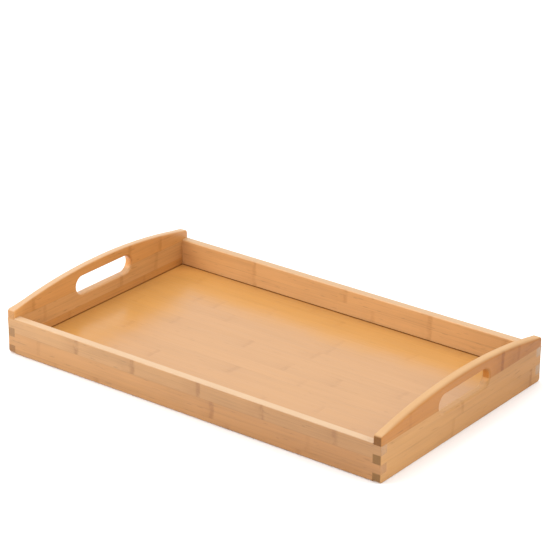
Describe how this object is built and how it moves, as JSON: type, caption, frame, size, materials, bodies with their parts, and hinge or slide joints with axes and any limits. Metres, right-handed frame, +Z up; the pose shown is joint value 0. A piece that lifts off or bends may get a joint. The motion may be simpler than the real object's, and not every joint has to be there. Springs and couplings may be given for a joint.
{
  "type": "serving tray",
  "caption": "Rectangular serving tray of laminated bamboo: low sides, arched ends pierced by hand slots, box-jointed corners and a thin base panel held in a groove.",
  "frame": {"origin": "middle of the tray's length and width, on the plane that it rests on", "axes": "+X along the length, towards the right end board; +Y across the width, towards the back side board; +Z up"},
  "size_m": [0.5, 0.3, 0.068],
  "materials": {
    "bamboo_side_board": "clear satin lacquer over carbonised bamboo strips, with end grain at the joints",
    "bamboo_end_board": "clear satin lacquer over carbonised bamboo strips, with end grain at the joints",
    "bamboo_base": "clear satin lacquer over carbonised bamboo strips"
  },
  "bodies": {
    "root": {"front_side_bottom_strip": "bamboo_side_board", "front_side_middle_strip": "bamboo_side_board", "front_side_top_strip": "bamboo_side_board", "back_side_bottom_strip": "bamboo_side_board", "back_side_middle_strip": "bamboo_side_board", "back_side_top_strip": "bamboo_side_board", "left_end_bottom_strip": "bamboo_end_board", "left_end_middle_strip": "bamboo_end_board", "left_end_top_strip": "bamboo_end_board", "right_end_bottom_strip": "bamboo_end_board", "right_end_middle_strip": "bamboo_end_board", "right_end_top_strip": "bamboo_end_board", "base_strip_1": "bamboo_base", "base_strip_2": "bamboo_base", "base_strip_3": "bamboo_base", "base_strip_4": "bamboo_base", "base_strip_5": "bamboo_base", "base_strip_6": "bamboo_base", "base_strip_7": "bamboo_base", "base_strip_8": "bamboo_base", "base_strip_9": "bamboo_base", "base_strip_10": "bamboo_base", "base_strip_11": "bamboo_base", "base_strip_12": "bamboo_base", "base_strip_13": "bamboo_base", "base_strip_14": "bamboo_base"}
  },
  "joints": []
}
